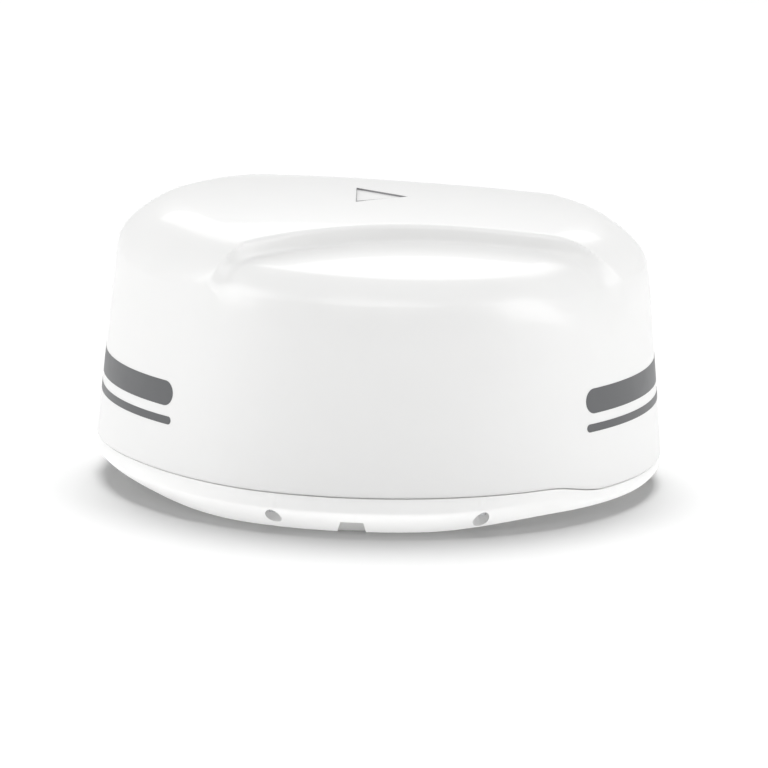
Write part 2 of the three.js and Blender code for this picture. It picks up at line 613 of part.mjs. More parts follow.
function driveMotor() {
  const half = MOTOR.side / 2;
  const chamfer = 5;
  const top = CHASSIS.z - GAP;
  const short = half - chamfer;
  const octagon = [[-short, -half], [short, -half], [half, -short], [half, short],
    [short, half], [-short, half], [-half, short], [-half, -short]];
  const outline = octagon.map(([x, y]) => [x, y - SHAFT_DISTANCE]);
  const body = prism(outline, top - MOTOR.height, top);
  const pilot = post(11, 0, -SHAFT_DISTANCE, top - 1, top + 2, 24);
  const well = post(MOTOR.shaft + GAP, 0, -SHAFT_DISTANCE, top - 12, top + 3, 16);
  const holes = motorPlaces.map(([x, y]) => post(1.8, x, y, top - 6, top + 1, 10));
  return cut(join(body, pilot), well, ...holes);
}

function motorShaft() {
  return post(MOTOR.shaft, 0, -SHAFT_DISTANCE, CHASSIS.z - 10, GEAR.z + GEAR.height + 0.8, 16);
}

function race(inside, outside, grooveOnOutside) {
  const middle = BEARING.z + BEARING.height / 2;
  const reach = BEARING.ball + 2 * GAP;
  const arc = [-3, 0, 3].map((dz) => {
    const bite = Math.sqrt(reach * reach - dz * dz);
    return [grooveOnOutside ? BEARING.pitch - bite : BEARING.pitch + bite, middle + dz];
  });
  const [low, high] = [BEARING.z, BEARING.z + BEARING.height];
  const inward = [[inside, low], [outside, low], ...arc, [outside, high], [inside, high]];
  const outward = [[outside, high], [inside, high], ...arc.reverse(), [inside, low], [outside, low]];
  return turned(grooveOnOutside ? inward : outward, 28);
}
const bearingInnerRace = () => race(BEARING.inner + GAP, BEARING.pitch - 3.2, true);
const bearingOuterRace = () => race(BEARING.pitch + 3.2, BEARING.outer - GAP, false);

// The balls with the cage that spaces them.
function bearingCage() {
  const middle = BEARING.z + BEARING.height / 2;
  const ring = turned([[BEARING.pitch - 1.2, middle - 2.2], [BEARING.pitch + 1.2, middle - 2.2],
    [BEARING.pitch + 1.2, middle + 2.2], [BEARING.pitch - 1.2, middle + 2.2]], 24);
  const balls = Array.from({ length: BEARING.balls }, (_, i) => {
    const angle = TAU * (i + 0.5) / BEARING.balls;
    const geometry = new THREE.SphereGeometry(BEARING.ball, 7, 5).rotateX(Math.PI / 2);
    const [x, y] = [BEARING.pitch * Math.cos(angle), BEARING.pitch * Math.sin(angle)];
    return toSolid(geometry.translate(x, y, middle));
  });
  return join(ring, ...balls);
}

function hubRetainer() {
  return turned([[BEARING.inner + GAP, CHASSIS_TOP + 1], [27, CHASSIS_TOP + 1], [27, BEARING.z - GAP],
    [BEARING.inner + GAP, BEARING.z - GAP]], 24);
}

function turntableHub() {
  const foot = CHASSIS_TOP + 0.5;
  const shoulder = BEARING.z + BEARING.height + GAP;
  return turned([[HUB.bore, foot], [BEARING.inner, foot], [BEARING.inner, shoulder], [24, shoulder],
    [24, HUB.flangeZ], [HUB.flange, HUB.flangeZ], [HUB.flange, HUB_TOP], [HUB.bore, HUB_TOP]], 28);
}

function rotaryJointStator() {
  const top = CHASSIS.z - GAP;
  const flange = post(40, 0, 0, top - 3, top, 32);
  const stem = post(10, 0, 0, top - 1, HUB_TOP + 4, 24);
  const port = barrel(3.6, -12, 0, 0, top - 6.4, 12);
  const bossed = join(flange, stem, post(7, 0, 0, top - 10, top - 1, 16), port);
  return bossed;
}

const ROTOR = { z: HUB_TOP + 3 + 2 * GAP, height: 15, portZ: HUB_TOP + 3 + 2 * GAP + 10 };
function rotaryJointRotor() {
  const { z, height, portZ } = ROTOR;
  const cup = turned([[0, z + 6], [10.6, z + 6], [10.6, z], [22, z], [22, z + 3], [14, z + 4],
    [14, z + height], [0, z + height]], 24);
  return join(cup, barrel(3.2, 10, 22, 0, portZ, 12));
}

// ---------------------------------------------------------------- position sensor
function indexFlag() {
  const z = HUB_TOP + GAP;
  const tab = block(-4, 4, -82.5, -40, z, z + 1.4);
  const blade = block(-4, 4, -82.5, -81.2, z - 4, z + 1);
  return join(tab, blade);
}

function indexSensor() {
  const floor = HUB.flangeZ - 1.5;
  const arms = [[76.8, 79.2], [84.6, 87]].map(([r0, r1]) => block(-5, 5, r0, r1, floor, HUB_TOP - GAP));
  const body = block(-5, 5, 76.8, 87, floor - 5, floor + 0.5);
  const leg = block(-4, 4, 80, 87, CHASSIS_TOP + GAP, floor - 4);
  const foot = block(-7, 7, 78, 96, CHASSIS_TOP + GAP, CHASSIS_TOP + 2.5);
  return join(body, leg, foot, ...arms);
}

// ---------------------------------------------------------------- turning antenna
const TABLE = { halfX: 78, front: -30, back: 52, thickness: 3 };
function turntablePlate() {
  const z = HUB_TOP + GAP;
  const plate = block(-TABLE.halfX, TABLE.halfX, TABLE.front, TABLE.back, z, z + TABLE.thickness - GAP);
  const bore = post(15, 0, 0, z - 1, z + 5, 24);
  return cut(plate, bore);
}

const BRACKET = { x: 60, width: 12, top: 150 };
function arrayBracket(side) {
  const z = HUB_TOP + TABLE.thickness + 2 * GAP;
  const [x0, x1] = [side * BRACKET.x - BRACKET.width / 2, side * BRACKET.x + BRACKET.width / 2];
  const back = ARRAY.front + ARRAY.thickness + ARRAY.trayDepth + GAP;
  const foot = block(x0, x1, back, 40, z, z + 3);
  const upright = block(x0, x1, back, back + 3, z, BRACKET.top);
  const web = prism([[back + 1, z + 1], [38, z + 1], [back + 1, BRACKET.top - 25]], -1.5, 1.5);
  const turnedWeb = standOnX(web, side * BRACKET.x);
  return join(foot, upright, turnedWeb);
}

// Turns a prism drawn in (y, z) so that its thickness lies along X.
function standOnX(solid, x) {
  const geometry = toGeometry(solid);
  geometry.applyMatrix4(new THREE.Matrix4().set(0, 0, 1, x, 1, 0, 0, 0, 0, 1, 0, 0, 0, 0, 0, 1));
  return toSolid(geometry);
}

function antennaArray() {
  const half = ARRAY.width / 2;
  const [y0, y1] = [ARRAY.front, ARRAY.front + ARRAY.thickness];
  const board = block(-half, half, y0 + 1, y1 - GAP, ARRAY.z, ARRAY.z + ARRAY.height);
  const ribs = [0.2, 0.5, 0.8].map((t) => {
    const z = ARRAY.z + ARRAY.height * t;
    return block(8 - half, half - 8, y0, y0 + 1.5, z - 9, z + 9);
  });
  return join(board, ...ribs);
}

function arrayReflector() {
  const half = ARRAY.width / 2 + 3;
  const y = ARRAY.front + ARRAY.thickness;
  const [z0, z1] = [ARRAY.z - 3, ARRAY.z + ARRAY.height + 3];
  const tray = block(-half, half, y, y + ARRAY.trayDepth, z0, z1);
  const hollow = block(3 - half, half - 3, y + 3, y + ARRAY.trayDepth + 1, z0 + 3, z1 - 3);
  const pads = [-1, 1].map((side) => {
    const x = side * BRACKET.x;
    return block(x - 10, x + 10, y + 1, y + ARRAY.trayDepth, z0 + 2, BRACKET.top - 5);
  });
  return join(cut(tray, hollow), ...pads);
}

const FRONT_END = { halfX: 34, z0: 108, z1: 156, depth: 14 };
function frontEndModule() {
  const y = ARRAY.front + ARRAY.thickness + 3 + GAP;
  const box = block(-FRONT_END.halfX, FRONT_END.halfX, y, y + FRONT_END.depth, FRONT_END.z0, FRONT_END.z1);
  const socket = new THREE.CylinderGeometry(3.2, 3.2, 8, 12);
  const port = toSolid(socket.translate(20, y + FRONT_END.depth + 3, 130));
  return join(box, port);
}

function balanceWeight() {
  const z = HUB_TOP + TABLE.thickness + 2 * GAP;
  return block(-45, 45, 26, 50, z, z + 14);
}

// ---------------------------------------------------------------- leads that the housing holds all the way
const frontPortY = ARRAY.front + ARRAY.thickness + 3 + FRONT_END.depth + 7 + 2 * GAP;
const bayExit = BAY.x0 - 18 - GAP;
const LEADS = {
  array_feed_cable: {
    radius: 1.8,
    points: [[22.3, 0, ROTOR.portZ], [28, 0, ROTOR.portZ], [34, 8, ROTOR.portZ + 7], [32, 18, 112],
      [26, 14, 126], [20, frontPortY + 6, 130], [20, frontPortY, 130]],
  },
  radio_feed_cable: {
    radius: 1.8,
    points: [[RADIO.x1 + 8.3, 26, 24.8], [-29, 26, 25.5], [-25, 18, 28.5], [-20, 5, 31],
      [-16, 0.5, CHASSIS.z - 6.7], [-12.3, 0, CHASSIS.z - 6.7]],
  },
  power_lead: {
    radius: 2.4,
    points: [[bayExit, -28, 17], [127, -28, 17.5], [123, -30, 22], [119, -36, 29], [112, -42, 34],
      [104, -44, 31.5], [104, -44, HEADER_TOP]],
  },
  network_lead: {
    radius: 2.4,
    points: [[bayExit, 28, 17], [127, 28, 17.5], [123, 31, 22], [119, 38, 29], [112, 44, 34],
      [104, 46, 31.5], [104, 46, HEADER_TOP]],
  },
  motor_lead: {
    radius: 1.8,
    points: [[MOTOR.side / 2 + GAP, -90, 18], [29, -90, 18], [36, -82, 20], [39, -68, 25],
      [39, -56, 31], [38, -46, 31.5], [38, -46, HEADER_TOP]],
  },
};

// ---------------------------------------------------------------- assembly
const antenna = new THREE.Group();

function place(name, solid, material) {
  const mesh = new THREE.Mesh(toGeometry(solid), material);
  mesh.name = name;
  antenna.add(mesh);
}

place('base_housing', baseHousing(), MATERIALS.gelcoat());
place('radome_cover', radomeCover(), MATERIALS.gelcoat());
place('cover_seal', coverSeal(), MATERIALS.rubber());
screwPlaces.forEach((spot, i) => place(`cover_screw_${i + 1}`, coverScrew(spot), MATERIALS.stainless()));
insertPlaces.forEach((spot, i) => place(`mount_insert_${i + 1}`, mountInsert(spot), MATERIALS.brass()));

for (const [label, side] of [['power', -1], ['network', 1]]) {
  place(`${label}_connector`, panelConnector(side), MATERIALS.blackPlastic());
  place(`${label}_connector_gasket`, connectorGasket(side), MATERIALS.rubber());
  place(`${label}_connector_nut`, connectorNut(side), MATERIALS.stainless());
}
place('vent_plug', ventPlug(), MATERIALS.blackPlastic());

place('chassis_plate', chassisPlate(), MATERIALS.aluminium());
chassisPlaces.forEach(([x, y], i) => {
  place(`chassis_screw_${i + 1}`, panHeadScrew(x, y, CHASSIS_TOP, 14, 2, 4.4), MATERIALS.stainless());
});
place('main_board', mainBoard(), MATERIALS.board());
place('board_shield', boardShield(), MATERIALS.tin());
place('transceiver_module', transceiverModule(), MATERIALS.aluminium());
place('heat_sink', heatSink(), MATERIALS.aluminium());

place('drive_motor', driveMotor(), MATERIALS.blackPlastic());
motorPlaces.forEach(([x, y], i) => {
  place(`motor_screw_${i + 1}`, panHeadScrew(x, y, CHASSIS_TOP, 8, 1.4, 2.8), MATERIALS.stainless());
});
place('motor_shaft', motorShaft(), MATERIALS.steel());
place('motor_pinion', motorPinion(), MATERIALS.brass());
place('bearing_outer_race', bearingOuterRace(), MATERIALS.steel());
place('bearing_inner_race', bearingInnerRace(), MATERIALS.steel());
place('bearing_cage', bearingCage(), MATERIALS.steel());
place('index_sensor', indexSensor(), MATERIALS.blackPlastic());
place('rotary_joint_stator', rotaryJointStator(), MATERIALS.brass());

place('turntable_hub', turntableHub(), MATERIALS.aluminium());
place('hub_retainer', hubRetainer(), MATERIALS.steel());
place('drive_gear', driveGear(), MATERIALS.whitePlastic());
place('index_flag', indexFlag(), MATERIALS.blackPlastic());
place('rotary_joint_rotor', rotaryJointRotor(), MATERIALS.brass());
place('turntable_plate', turntablePlate(), MATERIALS.aluminium());
place('array_bracket_1', arrayBracket(-1), MATERIALS.aluminium());
place('array_bracket_2', arrayBracket(1), MATERIALS.aluminium());
place('antenna_array', antennaArray(), MATERIALS.laminate());
place('array_reflector', arrayReflector(), MATERIALS.aluminium());
place('front_end_module', frontEndModule(), MATERIALS.tin());
place('balance_weight', balanceWeight(), MATERIALS.steel());
for (const [name, { points, radius }] of Object.entries(LEADS)) {
  place(name, lead(points, radius), MATERIALS.cable());
}

export default antenna;
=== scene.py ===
"""Radar dome antenna: fine skins, base, fasteners, inner pieces, materials, stage, light and camera."""
import json
import math

import bmesh
import bpy
import numpy as np
from mathutils import Matrix, Vector


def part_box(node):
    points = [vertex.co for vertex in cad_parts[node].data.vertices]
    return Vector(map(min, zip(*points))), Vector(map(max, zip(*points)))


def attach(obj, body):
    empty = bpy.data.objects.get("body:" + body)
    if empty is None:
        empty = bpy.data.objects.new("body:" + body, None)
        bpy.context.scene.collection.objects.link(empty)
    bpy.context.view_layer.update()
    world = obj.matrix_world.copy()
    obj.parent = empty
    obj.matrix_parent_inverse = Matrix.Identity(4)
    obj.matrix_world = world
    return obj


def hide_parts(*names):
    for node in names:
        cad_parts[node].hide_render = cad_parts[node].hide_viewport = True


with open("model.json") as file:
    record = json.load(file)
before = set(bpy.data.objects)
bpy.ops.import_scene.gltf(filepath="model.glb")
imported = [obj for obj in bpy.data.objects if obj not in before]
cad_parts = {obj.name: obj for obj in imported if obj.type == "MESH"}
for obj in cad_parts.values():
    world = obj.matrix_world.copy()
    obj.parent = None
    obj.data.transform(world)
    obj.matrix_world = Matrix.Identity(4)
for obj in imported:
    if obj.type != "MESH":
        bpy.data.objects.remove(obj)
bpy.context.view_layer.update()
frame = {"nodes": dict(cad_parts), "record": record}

TAU = 2 * math.pi

# ---------------------------------------------------------------- driving dimensions, in metres
RADIUS = 0.255
SEAM_Z = 0.036
DRAFT = math.tan(math.radians(5.3))
DECK_Z = 0.2579
DECK_FALL = math.tan(math.radians(1.57))
CROWN_RADIUS = 1.115
LENGTH_RADIUS = 2.2
WALL = 0.0035
SIDE_FILLET = 0.028
STERN_FILLET = 0.056
BOW_FILLET = 0.058
FILLET_CHANGE = (0.45, 0.9)       # from the side's to the end's, by the cosine of the azimuth
SEAM_GAP = 0.0015
SEAM_DROP = 0.0085
SEAM_DROP_SPAN = (38, 54)         # degrees off the bow, as the rise's span
SEAM_RISE = 0.004
SEAM_RISE_SPAN = (112, 155)

SCOOP_SIDE = 0.1065
SCOOP_FLARE = 0.0102
SCOOP_FLARE_LENGTH = 0.090
SCOOP_FLARE_POWER = 2.17
SCOOP_STERN = -0.148
SCOOP_STERN_ROUND = 0.038
SCOOP_BOW = 0.213
SCOOP_BOW_ROUND = 0.055
SCOOP_FLOOR_Z = 0.2386
SCOOP_FLOOR_FALL = math.tan(math.radians(7.4))
SCOOP_FLOOR_FROM = 0.1            # the floor is SCOOP_FLOOR_Z high at this distance from the middle
RISER_LEAN = math.tan(math.radians(8))
RISER_EDGE = 0.0035
RISER_FOOT = 0.003

# The seam closes up near the outside, lip to lip.
LIP_INSETS = (0.0040, 0.0036, 0.0009, 0.0003)
LIP_DROPS = (0, 0.0004, 0.0004, 0.0001)
LIP_ROUND = 0.0005

FLANGE_INNER = 0.229
FLANGE_HEIGHT = 0.0055
FOOT_BLEND = 0.012                # height over which the skirt's foot comes out to the full radius
FOOT_MARGIN = 0.003
BOSS_HEIGHT = 0.018

# The whole skin can be seen from this point on the axis, so a ray at any elevation meets it once.
CENTRE_Z = 0.120
NEAREST_SKIN = 0.06
FARTHEST_SKIN = 0.32
HALVINGS = 34
KNEE = 19                         # degrees above level; finer rows from here, over the shoulder
CROWN = 60                        # coarser rows from here, up to the axis
TOPMOST = 89.6
SHOULDER_STEP = 0.42

RIM_RADIUS = 0.254
FOOT_RADIUS = 0.229
STERN_FOOT_RADIUS = 0.216
BOW_FOOT_RADIUS = 0.248
BOW_LIFT = 0.012
BOW_SPAN = (50, 80)               # degrees off the bow, as the stern's span
STERN_SPAN = (118, 155)
FLANK_POWER = 1.35
FOOT_ROUND = 0.0008
STRIP = 0.012
BOW_STRIP = 0.008
BASE_FLOOR = 0.004
BASE_CENTRE = 0.02                # the pan's rings start this far from the axis
RIM_THICKNESS = 0.007
CHANNEL_RADIUS = 0.202
INNER_FOOT = 0.220
INNER_TOP = 0.224
UNDERCUT = 0.022
SEAL_INNER = 0.230
SEAL_OUTER = 0.235
SEAL_DEPTH = 0.0022

SCREW_CIRCLE = 0.245
SCREW_ANGLES = (-111.7, -68.3, 0, 68.3, 111.7, 180)
POCKET_RADIUS = 0.0073
POCKET_TOP = 0.022
SCREW_HOLE = 0.0024

SKIN_STEPS = 640
BASE_STEPS = 480


# ---------------------------------------------------------------- the dome's form, as distance fields
def smooth(a, b, t):
    u = np.clip((t - a) / (b - a), 0, 1)
    return u * u * (3 - 2 * u)


def round_both(a, b, r):
    """Outside corner of two fields, rounded."""
    return np.minimum(-r, np.maximum(a, b)) + np.hypot(np.maximum(r + a, 0), np.maximum(r + b, 0))


def round_either(a, b, r):
    """Inside corner of two fields, rounded."""
    return np.maximum(r, np.minimum(a, b)) - np.hypot(np.maximum(r - a, 0), np.maximum(r - b, 0))


def scoop_depth(x, y):
    """How far a point is inside the scoop beside the raised spine, seen from above."""
    back = np.maximum(SCOOP_FLARE_LENGTH - x, 0) / SCOOP_FLARE_LENGTH
    side = SCOOP_SIDE + SCOOP_FLARE * back ** SCOOP_FLARE_POWER
    slope = SCOOP_FLARE * SCOOP_FLARE_POWER * back ** (SCOOP_FLARE_POWER - 1) / SCOOP_FLARE_LENGTH
    across = (side - np.abs(y)) / np.hypot(1, slope)
    stern_side = round_both(across, SCOOP_STERN - x, SCOOP_STERN_ROUND)
    return -round_both(stern_side, x - SCOOP_BOW, SCOOP_BOW_ROUND)


def dome_field(x, y, z):
    """Negative inside the dome, positive outside."""
    r = np.hypot(x, y) + 1e-9
    wall = (r - (RADIUS - (z - SEAM_Z) * DRAFT)) / math.hypot(1, DRAFT)
    fall = DECK_FALL * x + x * x / (2 * LENGTH_RADIUS)
    deck = z - (DECK_Z - fall - y * y / (2 * CROWN_RADIUS))
    riser = scoop_depth(x, y) + (z - SCOOP_FLOOR_Z) * RISER_LEAN
    floor = z - (SCOOP_FLOOR_Z - SCOOP_FLOOR_FALL * (np.abs(y) - SCOOP_FLOOR_FROM) - fall)
    top = round_either(round_both(deck, riser, RISER_EDGE), floor, RISER_FOOT)
    end_fillet = np.where(x < 0, STERN_FILLET, BOW_FILLET)
    fillet = SIDE_FILLET + (end_fillet - SIDE_FILLET) * smooth(*FILLET_CHANGE, np.abs(x / r))
    return round_both(wall, top, fillet)


def seam_wave(x, y):
    """Rise and fall of the seam round the dome."""
    angle = np.degrees(np.arctan2(np.abs(y), x))
    rise = SEAM_RISE * smooth(*SEAM_RISE_SPAN, angle)
    return rise - SEAM_DROP * (1 - smooth(*SEAM_DROP_SPAN, angle))


def skin_points(ax, ay, elevation, inset):
    """Where rays from the centre point leave the dome's skin; ax, ay are unit directions in plan."""
    c, s = np.cos(elevation), np.sin(elevation)
    low = np.full(np.broadcast(ax, elevation).shape, NEAREST_SKIN)
    high = np.full_like(low, FARTHEST_SKIN)
    for _ in range(HALVINGS):
        mid = (low + high) / 2
        inside = dome_field(ax * c * mid, ay * c * mid, CENTRE_Z + s * mid) + inset < 0
        low = np.where(inside, mid, low)
        high = np.where(inside, high, mid)
    return low * c, CENTRE_Z + low * s


# ---------------------------------------------------------------- mesh helpers
def new_object(name, vertices, faces, smooth_angle=30):
    mesh = bpy.data.meshes.new(name)
    mesh.from_pydata([tuple(v) for v in vertices], [], faces)
    mesh.update()
    obj = bpy.data.objects.new(name, mesh)
    bpy.context.scene.collection.objects.link(obj)
    soften(obj, smooth_angle)
    return obj


def soften(obj, angle=30):
    """Smooth shading, with the edges sharper than the angle left sharp."""
    obj.data.shade_smooth()
    obj.data.set_sharp_from_angle(angle=math.radians(angle))


def section_ring(name, radii, heights, angles, cap_start=False, cap_end=False, closed=False):
    """A closed skin from one section per azimuth: radii and heights are arrays [azimuth, point]."""
    steps, count = radii.shape
    xs = radii * np.cos(angles)[:, None]
    ys = radii * np.sin(angles)[:, None]
    vertices = np.stack([xs, ys, heights], -1).reshape(-1, 3).tolist()
    faces = []
    last = count if closed else count - 1
    for i in range(steps):
        n = (i + 1) % steps
        for j in range(last):
            k = (j + 1) % count
            faces.append((i * count + j, n * count + j, n * count + k, i * count + k))
    for flag, j in ((cap_start, 0), (cap_end, count - 1)):
        if not flag:
            continue
        ring = [i * count + j for i in range(steps)]
        centre = len(vertices)
        vertices.append([0, 0, float(heights[:, j].mean())])
        for i in range(steps):
            a, b = ring[i], ring[(i + 1) % steps]
            faces.append((centre, b, a) if j == 0 else (centre, a, b))
    obj = new_object(name, vertices, faces)
    outward(obj)
    return obj


def outward(obj):
    """Makes every face look outwards."""
    bm = bmesh.new()
    bm.from_mesh(obj.data)
    bmesh.ops.recalc_face_normals(bm, faces=bm.faces)
    bm.to_mesh(obj.data)
    bm.free()


def lathe(name, profile, place=(0, 0, 0), sides=48):
    """A turned solid from [radius, height] points; it closes on itself or ends on the axis."""
    points = np.array(profile, float)
    on_axis = points[0, 0] == 0
    if on_axis:
        points = points[1:-1]
    angles = np.arange(sides) * TAU / sides
    radii = np.tile(points[:, 0], (sides, 1))
    heights = np.tile(points[:, 1], (sides, 1))
    if on_axis:
        obj = section_ring(name, radii, heights, angles, cap_start=True, cap_end=True)
    else:
        obj = section_ring(name, radii, heights, angles, closed=True)
    obj.data.transform(Matrix.Translation(place))
    return obj


def post(name, radius, x, y, z0, z1, sides=32):
    return lathe(name, [(0, z0), (radius, z0), (radius, z1), (0, z1)], (x, y, 0), sides)


def block(name, x0, x1, y0, y1, z0, z1, bevel=0.0, segments=2):
    bm = bmesh.new()
    bmesh.ops.create_cube(bm, size=1)
    bmesh.ops.scale(bm, vec=(x1 - x0, y1 - y0, z1 - z0), verts=bm.verts)
    bmesh.ops.translate(bm, vec=((x0 + x1) / 2, (y0 + y1) / 2, (z0 + z1) / 2), verts=bm.verts)
    if bevel:
        edges = bm.edges[:]
        bmesh.ops.bevel(bm, geom=edges, offset=bevel, segments=segments, profile=0.5, affect="EDGES")
    mesh = bpy.data.meshes.new(name)
    bm.to_mesh(mesh)
    bm.free()
    obj = bpy.data.objects.new(name, mesh)
    bpy.context.scene.collection.objects.link(obj)
    soften(obj, 30)
    return obj


def prism(name, corners, low, high):
    """An upright prism from plan corner points."""
    count = len(corners)
    vertices = [(x, y, low) for x, y in corners] + [(x, y, high) for x, y in corners]
    faces = [tuple(range(count))[::-1], tuple(range(count, 2 * count))]
    faces += [(i, (i + 1) % count, (i + 1) % count + count, i + count) for i in range(count)]
    obj = new_object(name, vertices, faces)
    outward(obj)
    return obj


def merged(objects):
    """Joins meshes into the first one, without cutting."""
    bm = bmesh.new()
    for obj in objects:
        bm.from_mesh(obj.data)
    bm.to_mesh(objects[0].data)
    bm.free()
    for obj in objects[1:]:
        bpy.data.objects.remove(obj)
    return objects[0]


def boolean(target, tool, operation):
    """Cuts, joins or intersects the target with the tool, and removes the tool."""
    modifier = target.modifiers.new("cut", "BOOLEAN")
    modifier.object = tool
    modifier.operation = operation
    modifier.solver = "MANIFOLD"
    graph = bpy.context.evaluated_depsgraph_get()
    mesh = bpy.data.meshes.new_from_object(target.evaluated_get(graph))
    target.modifiers.clear()
    target.data = mesh
    bpy.data.objects.remove(tool)
    soften(target, 30)
    return target


# ---------------------------------------------------------------- materials
MATERIALS = {}


def material(name, color, roughness, metallic=0.0, coat=0.0, specular=0.5):
    mat = bpy.data.materials.new(name)
    MATERIALS[name] = mat
    mat.use_nodes = True
    shader = mat.node_tree.nodes["Principled BSDF"]
    shader.inputs["Base Color"].default_value = (*color, 1)
    shader.inputs["Roughness"].default_value = roughness
    shader.inputs["Metallic"].default_value = metallic
    shader.inputs["Coat Weight"].default_value = coat
    shader.inputs["Specular IOR Level"].default_value = specular
    return mat


def node(mat, kind, **inputs):
    made = mat.node_tree.nodes.new(kind)
    for key, value in inputs.items():
        made.inputs[key.replace("_", " ")].default_value = value
    return made


def link(mat, source, output, target, socket):
    mat.node_tree.links.new(source.outputs[output], target.inputs[socket])


def coordinates(mat, stretch=(1, 1, 1)):
    """Object coordinates, stretched, as a vector output."""
    place = node(mat, "ShaderNodeTexCoord")
    mapping = node(mat, "ShaderNodeMapping", Scale=stretch)
    link(mat, place, "Object", mapping, "Vector")
    return mapping


def noise(mat, scale, detail=3.0, stretch=(1, 1, 1)):
    texture = node(mat, "ShaderNodeTexNoise", Scale=scale, Detail=detail)
    link(mat, coordinates(mat, stretch), "Vector", texture, "Vector")
    return texture


def span(mat, source, output, low, high, target, socket):
    """Maps a 0 to 1 value onto low to high and feeds it to a socket."""
    ranger = node(mat, "ShaderNodeMapRange", From_Min=0.3, From_Max=0.7, To_Min=low, To_Max=high)
    link(mat, source, output, ranger, "Value")
    link(mat, ranger, "Result", target, socket)


def tint(mat, source, output, dark, light):
    """Colour variation between two close colours."""
    ramp = node(mat, "ShaderNodeValToRGB")
    ramp.color_ramp.elements[0].position = 0.3
    ramp.color_ramp.elements[0].color = (*dark, 1)
    ramp.color_ramp.elements[1].position = 0.7
    ramp.color_ramp.elements[1].color = (*light, 1)
    link(mat, source, output, ramp, "Fac")
    link(mat, ramp, "Color", mat.node_tree.nodes["Principled BSDF"], "Base Color")


def bump(mat, source, output, strength, distance):
    bumper = node(mat, "ShaderNodeBump", Strength=strength, Distance=distance)
    link(mat, source, output, bumper, "Height")
    link(mat, bumper, "Normal", mat.node_tree.nodes["Principled BSDF"], "Normal")


def scaled(color, factor):
    return tuple(c * factor for c in color)


def moulded(name, color, roughness, grain=900, depth=0.00004, coat=0.0, variation=0.03, specular=0.5):
    """Moulded plastic, rubber or gelcoat: fine grain, slight cloudiness, uneven gloss."""
    mat = material(name, color, roughness, coat=coat, specular=specular)
    shader = mat.node_tree.nodes["Principled BSDF"]
    cloud = noise(mat, 9)
    tint(mat, cloud, "Fac", scaled(color, 1 - variation), color)
    span(mat, noise(mat, 35, 4), "Fac", roughness * 0.92, roughness * 1.08, shader, "Roughness")
    bump(mat, noise(mat, grain, 2), "Fac", 0.25, depth)
    return mat


def metal(name, color, roughness, stretch=(1, 1, 1), grain=1200, variation=0.12):
    """Worked metal: directional tool marks, patchy tone and gloss."""
    mat = material(name, color, roughness, metallic=1.0)
    shader = mat.node_tree.nodes["Principled BSDF"]
    marks = noise(mat, grain, 3, stretch)
    tint(mat, noise(mat, 60, 5), "Fac", scaled(color, 1 - variation), color)
    span(mat, marks, "Fac", roughness * 0.75, roughness * 1.25, shader, "Roughness")
    bump(mat, marks, "Fac", 0.3, 0.00003)
    return mat


WHITE = (0.80, 0.80, 0.795)
moulded("dome_white", WHITE, 0.34, grain=260, depth=0.00003, coat=0.25, variation=0.015)
# The base's white is 8% lighter than the dome's: painted light standing in for the bright floor's bounce
# on the base.
moulded("base_white", scaled(WHITE, 1.08), 0.38, grain=700, depth=0.00003, variation=0.02)
moulded("band_grey", (0.105, 0.108, 0.112), 0.42, grain=1500, variation=0.08)
# Dark grey for the heading mark's wall: painted shade in the recess.
moulded("painted_shade_grey", (0.26, 0.26, 0.265), 0.45, grain=1500, variation=0.08)
moulded("black_rubber", (0.022, 0.022, 0.023), 0.7, grain=1800, variation=0.25)
metal("stainless_steel", (0.60, 0.61, 0.62), 0.3, (1, 1, 8))
metal("brass", (0.72, 0.54, 0.26), 0.32, (1, 1, 10))
moulded("black_plastic", (0.028, 0.028, 0.03), 0.5, grain=2200, depth=0.00006, variation=0.2)
metal("aluminium", (0.70, 0.71, 0.72), 0.42, grain=1800)
moulded("circuit_board", (0.02, 0.13, 0.05), 0.35, grain=2600, variation=0.35)
metal("tinned_steel", (0.72, 0.72, 0.70), 0.28, (6, 1, 1), grain=500)
metal("bearing_steel", (0.55, 0.56, 0.57), 0.2, (1, 1, 14))
moulded("natural_nylon", (0.72, 0.69, 0.58), 0.48, grain=1400, variation=0.06)
moulded("antenna_laminate", (0.42, 0.34, 0.19), 0.5, grain=3200, variation=0.18)
moulded("cable_sheath", (0.03, 0.03, 0.033), 0.5, grain=1700, variation=0.2)
metal("copper", (0.78, 0.42, 0.27), 0.3, grain=1500)


def dress(obj, slot, body, mat=None):
    """Gives a new piece its material, the slot's unless another is named, and its body."""
    obj.data.materials.clear()
    obj.data.materials.append(MATERIALS[mat or slot])
    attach(obj, body)
    return obj


# ---------------------------------------------------------------- camera
VIEW_ELEVATION = 12.7             # degrees, as the roll
VIEW_ROLL = 1.1
VIEW_DISTANCE = 6.0
VIEW_WIDTH = 0.697                # width of the view at the object
AIM_ASIDE = 0.0055                # the view's centre, from the object's origin
AIM_ABOVE = 0.0826


def aim_camera():
    """Places the camera on a line through the origin, then turns it onto the object."""
    elevation, roll = math.radians(VIEW_ELEVATION), math.radians(VIEW_ROLL)
    place = Vector((0, -math.cos(elevation), math.sin(elevation))) * VIEW_DISTANCE
    level = Vector((1, 0, 0))
    upward = place.normalized().cross(level)
    aside = math.cos(roll) * level + math.sin(roll) * upward
    above = math.cos(roll) * upward - math.sin(roll) * level
    back = (place - aside * AIM_ASIDE - above * AIM_ABOVE).normalized()
    right = (aside - aside.dot(back) * back).normalized()
    data = bpy.data.cameras.new("camera")
    data.lens = data.sensor_width * VIEW_DISTANCE / VIEW_WIDTH
    data.clip_end = 100
    camera = bpy.data.objects.new("camera", data)
    bpy.context.scene.collection.objects.link(camera)
    turn = Matrix((right, back.cross(right), back)).transposed().to_4x4()
    camera.matrix_world = Matrix.Translation(place) @ turn
    bpy.context.scene.camera = camera


aim_camera()


